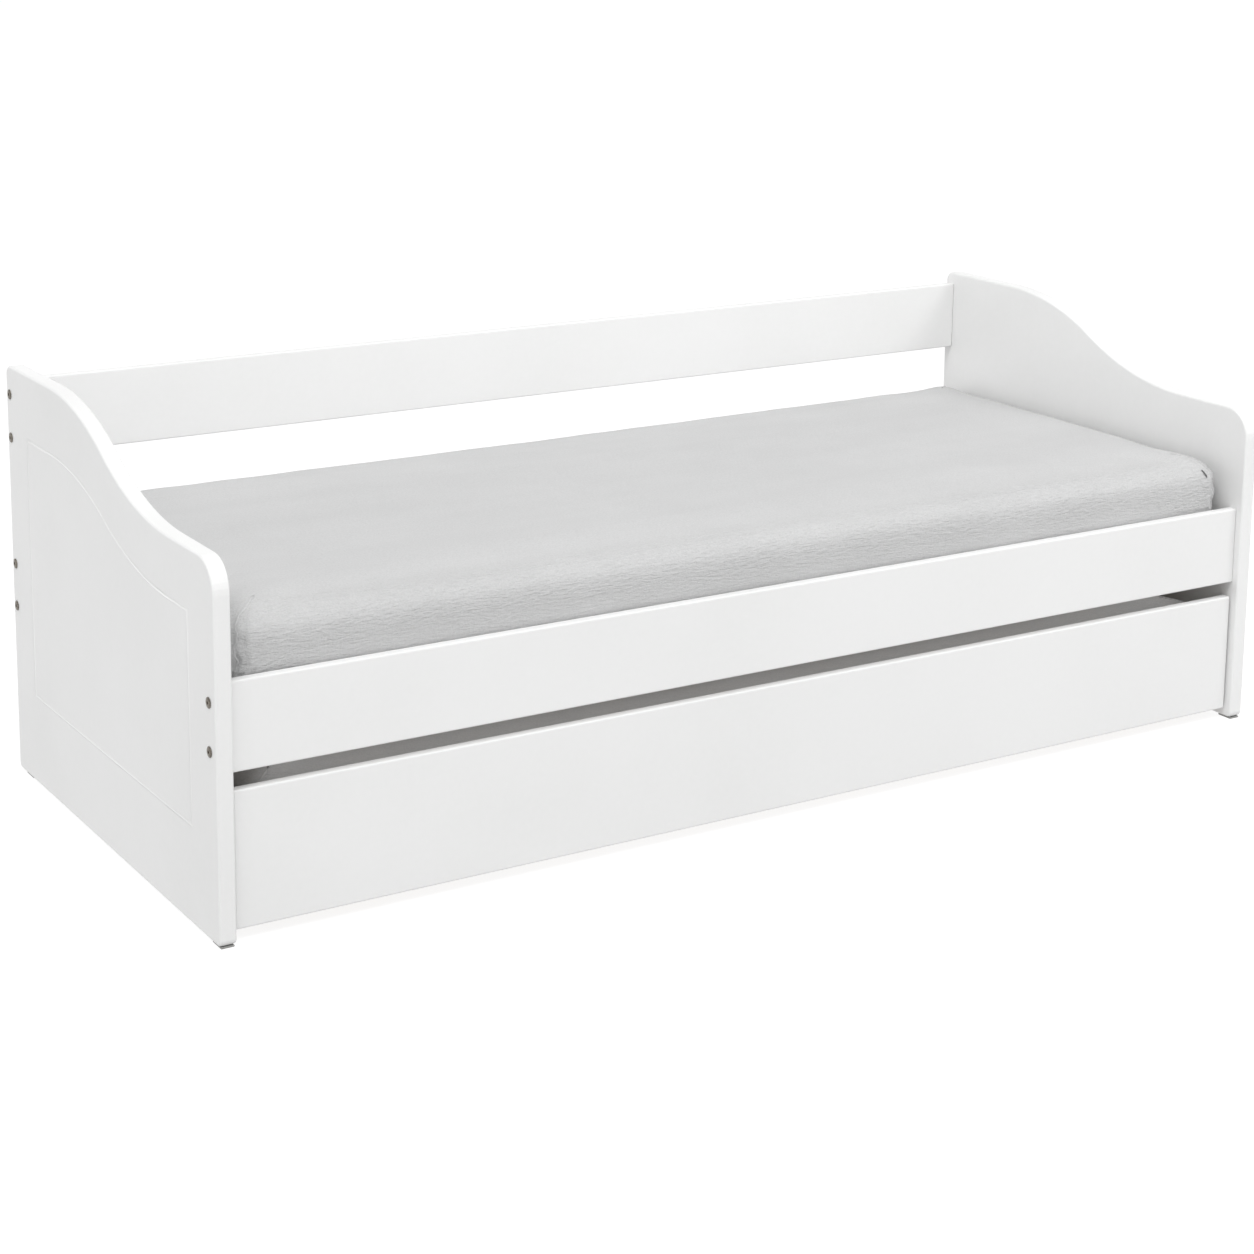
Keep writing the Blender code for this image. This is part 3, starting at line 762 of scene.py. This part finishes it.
NUT_FROM_END = 0.034
LEDGE_SCREWS = 7
LEDGE_SCREW_FROM_END = 0.06
BRACKET_PLATE = 0.0025


def hexagon_radius(apothem, angle):
    return apothem / math.cos((angle + math.pi / 6) % (math.pi / 3) - math.pi / 6)


def bolt_shape():
    """A low domed head with a hexagon socket, and the start of its shank, about the X axis."""
    rings = [ring_about_x(x, radius, BOLT_SIDES) for radius, x in BOLT_HEAD_RINGS]
    for apothem, x in SOCKET_RINGS:
        rings.append(ring_about_x(x, lambda angle: hexagon_radius(apothem, angle), BOLT_SIDES))
    return loft(rings)


def add_bolts():
    shape = bolt_shape()
    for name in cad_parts:
        if not name.endswith("_bolt"):
            continue
        low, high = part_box(name)
        right = low.x + high.x > 0
        head = high.x - BOLT_DOME if right else low.x + BOLT_DOME
        place = Matrix.Translation((head, (low.y + high.y) / 2, (low.z + high.z) / 2))
        if not right:
            place = place @ Matrix.Rotation(math.pi, 4, "Z")
        parts = Parts()
        parts.add(shape, place @ Matrix.Rotation(math.radians(BOLT_TURN), 4, "X"))
        bolt = new_piece(f"{name}_head", parts.mesh(name), bronze)
        soften(bolt, 0.0002)
        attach(bolt, "frame")
        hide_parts(name)


def screw_shape(radius, height):
    """A pan-head screw's head along +X, with a cross recess in its dome."""
    rings = [ring_about_x(SCREW_SHANK, radius, SCREW_SIDES)]
    for share, lift in SCREW_HEAD_RINGS:
        rings.append(ring_about_x(lift * height, radius * share, SCREW_SIDES))
    for size, lift in SCREW_CROSS_RINGS:
        rings.append(ring_about_x(
            lift * height,
            lambda angle: radius * size * (0.55 + 0.45 * math.cos(4 * angle)),
            SCREW_SIDES,
        ))
    return loft(rings)


def nut_shape():
    """The end of a cross-dowel nut along +X, with a screwdriver slot."""
    rings = [ring_about_x(x, radius, NUT_SIDES) for radius, x in NUT_RINGS]
    half_length, half_width = NUT_SLOT
    for x in NUT_SLOT_DEPTHS:
        ring = []
        for angle in circle(NUT_SIDES):
            side = math.copysign(min(1, abs(math.sin(angle)) * 4), math.sin(angle))
            ring.append((x, half_length * math.cos(angle), half_width * side))
        rings.append(ring)
    return loft(rings)


def facing(point, direction):
    """Places a shape made along +X at a point, looking along a direction."""
    turn = Vector((1, 0, 0)).rotation_difference(Vector(direction)).to_matrix().to_4x4()
    return Matrix.Translation(point) @ turn


def add_trim(name, parts, material, body):
    piece = new_piece(name, parts.mesh(name), material)
    soften(piece, 0.0002, segments=1)
    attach(piece, body)


def add_barrel_nuts():
    parts = Parts()
    for rail in ("front_rail", "lower_back_rail", "upper_back_rail"):
        low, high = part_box(rail)
        for side, end in (("left", low.x + NUT_FROM_END), ("right", high.x - NUT_FROM_END)):
            for row in ("lower", "upper"):
                bolt_low, bolt_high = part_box(f"{side}_{rail}_{row}_bolt")
                point = (end, high.y, (bolt_low.z + bolt_high.z) / 2)
                parts.add(nut_shape(), facing(point, (0, 1, 0)))
    add_trim("rail_barrel_nuts", parts, zinc, "frame")


def add_ledge_screws(prefix, body):
    parts = Parts()
    for ledge, outward in ((f"{prefix}front_slat_ledge", 1), (f"{prefix}back_slat_ledge", -1)):
        low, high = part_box(ledge)
        face = high.y if outward > 0 else low.y
        span = high.x - low.x - 2 * LEDGE_SCREW_FROM_END
        for i in range(LEDGE_SCREWS):
            x = low.x + LEDGE_SCREW_FROM_END + span * i / (LEDGE_SCREWS - 1)
            point = (x, face, (low.z + high.z) / 2)
            parts.add(screw_shape(*SCREW_HEAD), facing(point, (0, outward, 0)))
    add_trim(f"{body}_ledge_screws", parts, zinc, body)


def add_bracket_screws():
    parts = Parts()
    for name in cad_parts:
        if not name.endswith("_wheel_bracket"):
            continue
        low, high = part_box(name)
        for sx in (0.16, 0.84):
            for sy in (0.13, 0.87):
                point = (
                    low.x + (high.x - low.x) * sx,
                    low.y + (high.y - low.y) * sy,
                    high.z - BRACKET_PLATE,
                )
                parts.add(screw_shape(*BRACKET_SCREW_HEAD), facing(point, (0, 0, -1)))
    add_trim("wheel_bracket_screws", parts, zinc, "trundle")


WHEEL_SIDES = 64
TREAD_PROFILE = (
    (0.0186, -0.0075), (0.0222, -0.0088), (0.0240, -0.0078), (0.0248, -0.0050), (0.0250, 0.0),
)
HUB_PROFILE = (
    (0.0031, -0.0085), (0.0062, -0.0085), (0.0066, -0.0040),
    (0.0155, -0.0030), (0.0165, -0.0080), (0.0187, -0.0080),
)
RIB_COUNT = 6
RIB_INNER, RIB_OUTER = 0.0060, 0.0162
RIB_FACE = 0.0068
RIB_HALF_THICKNESS = 0.0007


def rib_shape():
    """One flat rib of a wheel's hub, standing up along +Y."""
    corners = (
        (RIB_INNER, -RIB_HALF_THICKNESS), (RIB_INNER, RIB_HALF_THICKNESS),
        (RIB_OUTER, RIB_HALF_THICKNESS), (RIB_OUTER, -RIB_HALF_THICKNESS),
    )
    return loft([[(x, y, z) for y, z in corners] for x in (-RIB_FACE, RIB_FACE)])


def mirrored(profile):
    """The half profile and its mirror image, with a point on the middle plane used once."""
    other = [(radius, -x) for radius, x in reversed(profile) if x != 0]
    return list(profile) + other


def add_wheels():
    """Each wheel as a soft rounded tread on a moulded hub with six ribs."""
    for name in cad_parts:
        if not name.endswith("_wheel"):
            continue
        low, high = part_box(name)
        place = Matrix.Translation((low + high) / 2)
        tyre_parts, hub_parts = Parts(), Parts()
        tyre_parts.add(turned(mirrored(TREAD_PROFILE), WHEEL_SIDES), place)
        hub_parts.add(turned(mirrored(HUB_PROFILE), WHEEL_SIDES), place)
        for i in range(RIB_COUNT):
            turn = Matrix.Rotation(2 * math.pi * i / RIB_COUNT, 4, "X")
            hub_parts.add(rib_shape(), place @ turn)
        tyre = new_piece(f"{name}_tread", tyre_parts.mesh(name), tread_grey)
        hub_piece = new_piece(f"{name}_hub", hub_parts.mesh(name), hub_grey)
        soften(hub_piece, 0.0004)
        for piece in (tyre, hub_piece):
            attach(piece, f"{name}_body")
        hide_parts(name)


GROOVE_DEPTH = 0.003
GROOVE_MARGIN = 0.05
LINING_HALF_WIDTH = 0.0034
LINING_DEPTH = 0.0011
LINING_EDGE_DEPTH = 0.00004
LINING_BACK_DEPTH = 0.0024
LINING_STEPS = 5


def valley_loop(name):
    """The panel's outer face, the direction into it, and the routed line's lowest points in order."""
    low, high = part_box(name)
    outer, inward = (low.x, 1) if low.x + high.x < 0 else (high.x, -1)
    found = {}
    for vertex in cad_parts[name].data.vertices:
        if abs(vertex.co.x - outer - inward * GROOVE_DEPTH) < 0.0003:
            found[round(vertex.co.y, 4), round(vertex.co.z, 4)] = Vector((vertex.co.y, vertex.co.z))
    points = [
        p for p in found.values()
        if low.y + GROOVE_MARGIN < p.x < high.y - GROOVE_MARGIN and p.y > low.z + GROOVE_MARGIN
    ]
    middle = Vector(((low.y + high.y) / 2, (low.z + high.z) / 2))
    points.sort(key=lambda p: math.atan2(p.y - middle.y, p.x - middle.x))
    return outer, inward, points


def lining_shape(name):
    """A round-bottomed filling that runs round the routed line, just over its V-shaped bottom."""
    outer, inward, points = valley_loop(name)
    rings = []
    for i, point in enumerate(points):
        before = (point - points[i - 1]).normalized()
        after = (points[(i + 1) % len(points)] - point).normalized()
        mitre = Vector((before.y + after.y, -before.x - after.x)).normalized()
        stretch = 1 / max(0.5, mitre.dot(Vector((before.y, -before.x))))
        ring = []
        for step in range(-LINING_STEPS, LINING_STEPS + 1):
            share = step / LINING_STEPS
            depth = LINING_DEPTH * (1 - share * share) + LINING_EDGE_DEPTH
            place = point + mitre * (share * LINING_HALF_WIDTH * stretch)
            ring.append((outer + inward * depth, place.x, place.y))
        ring.append((outer + inward * LINING_BACK_DEPTH, point.x, point.y))
        rings.append(ring)
    return loft(rings, closed_along=True)


def add_groove_linings():
    """A round-bottomed lacquer filling in each routed line, a little lighter in colour as a painted
    highlight.
    """
    for side in ("left", "right"):
        name = f"{side}_end_panel"
        parts = Parts()
        parts.add(lining_shape(name))
        # The filling's lighter lacquer is a painted highlight along the routed line.
        lining = new_piece(f"{side}_routed_line_lacquer", parts.mesh(name), groove_highlight_lacquer)
        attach(lining, "frame")


add_bolts()
add_barrel_nuts()
add_ledge_screws("", "frame")
add_ledge_screws("trundle_", "trundle")
add_bracket_screws()
add_wheels()
add_groove_linings()


# Camera, floor and light

CAMERA_PLACE = Vector((-2.4535, -3.8418, 1.6378))
CAMERA_YAW = 0.5566
CAMERA_PITCH = -0.1958
CAMERA_ROLL = 0.0109
CAMERA_LENS = 74.79
CAMERA_SHIFT = -0.2209
CAMERA_SENSOR = 36.0
FLOOR_HALF = 40.0
FLOOR_GLOW = 0.85
GLOW_FROM_RAIL = 0.055
GLOW_DROP = 0.006
SKY_STOPS = ((0.485, 0.60), (0.51, 1.22), (0.61, 1.22), (0.66, 0.60))


def add_camera():
    data = bpy.data.cameras.new("studio_camera")
    data.sensor_width = CAMERA_SENSOR
    data.lens = CAMERA_LENS
    data.shift_y = CAMERA_SHIFT
    camera = bpy.data.objects.new("studio_camera", data)
    bpy.context.scene.collection.objects.link(camera)
    forward = Vector((
        math.sin(CAMERA_YAW) * math.cos(CAMERA_PITCH),
        math.cos(CAMERA_YAW) * math.cos(CAMERA_PITCH),
        math.sin(CAMERA_PITCH),
    ))
    level = Vector((math.cos(CAMERA_YAW), -math.sin(CAMERA_YAW), 0))
    raised = level.cross(forward)
    right = level * math.cos(CAMERA_ROLL) + raised * math.sin(CAMERA_ROLL)
    up = raised * math.cos(CAMERA_ROLL) - level * math.sin(CAMERA_ROLL)
    turn = Matrix((right, up, -forward)).transposed()
    camera.matrix_world = Matrix.Translation(CAMERA_PLACE) @ turn.to_4x4()
    bpy.context.scene.camera = camera


def add_floor():
    corners = [(x * FLOOR_HALF, y * FLOOR_HALF, 0) for x, y in ((-1, -1), (1, -1), (1, 1), (-1, 1))]
    mesh = mesh_from("floor", corners, [(0, 1, 2, 3)])
    finish = Finish("studio_floor", Roughness=0.9)
    tone = finish.noise(1.5)
    finish.colour(finish.ramp(tone, (0.3, (0.19, 0.19, 0.19)), (0.7, (0.21, 0.21, 0.21))))
    finish.shader.inputs["Emission Color"].default_value = (1, 1, 1, 1)
    finish.shader.inputs["Emission Strength"].default_value = FLOOR_GLOW
    floor = new_piece("studio_floor", mesh, finish.material, smooth=False)
    floor.visible_diffuse = False


def add_softbox(name, place, aim, size, power):
    data = bpy.data.lights.new(name, "AREA")
    data.shape = "RECTANGLE"
    data.size, data.size_y = size
    data.energy = power
    light = bpy.data.objects.new(name, data)
    bpy.context.scene.collection.objects.link(light)
    direction = Vector(aim) - Vector(place)
    light.visible_camera = False
    light.location = place
    light.rotation_euler = direction.to_track_quat("-Z", "Y").to_euler()


def add_sky():
    """A pale studio: brightest in a band just above the horizon, softer overhead."""
    world = bpy.data.worlds.new("studio")
    bpy.context.scene.world = world
    world.use_nodes = True
    nodes, links = world.node_tree.nodes, world.node_tree.links
    place = nodes.new("ShaderNodeTexCoord")
    split = nodes.new("ShaderNodeSeparateXYZ")
    ramp = nodes.new("ShaderNodeValToRGB")
    links.new(place.outputs["Generated"], split.inputs["Vector"])
    height = nodes.new("ShaderNodeMapRange")
    height.inputs["From Min"].default_value = -1.0
    links.new(split.outputs["Z"], height.inputs["Value"])
    links.new(height.outputs["Result"], ramp.inputs["Fac"])
    links.new(ramp.outputs["Color"], nodes["Background"].inputs["Color"])
    ramp.color_ramp.elements.new(0.5)
    ramp.color_ramp.elements.new(0.6)
    for element, (position, level) in zip(ramp.color_ramp.elements, SKY_STOPS):
        element.position = position
        element.color = (level, level, level, 1.0)


add_camera()
add_floor()
add_sky()
add_softbox("key_softbox", (-3.8, -4.7, 9.8), (0, 0, 0.3), (8.0, 6.0), 830)
rail_low, rail_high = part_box("front_rail")
glow_y = rail_high.y + GLOW_FROM_RAIL
add_softbox("under_bed_glow", (0, glow_y, rail_low.z - GLOW_DROP), (0, glow_y, 0), (1.9, 0.09), 0.24)
add_softbox("fill_softbox", (2.4, -2.0, 2.6), (0.9, -0.2, 0.45), (1.4, 1.2), 28)
bpy.context.scene.view_settings.view_transform = "Standard"
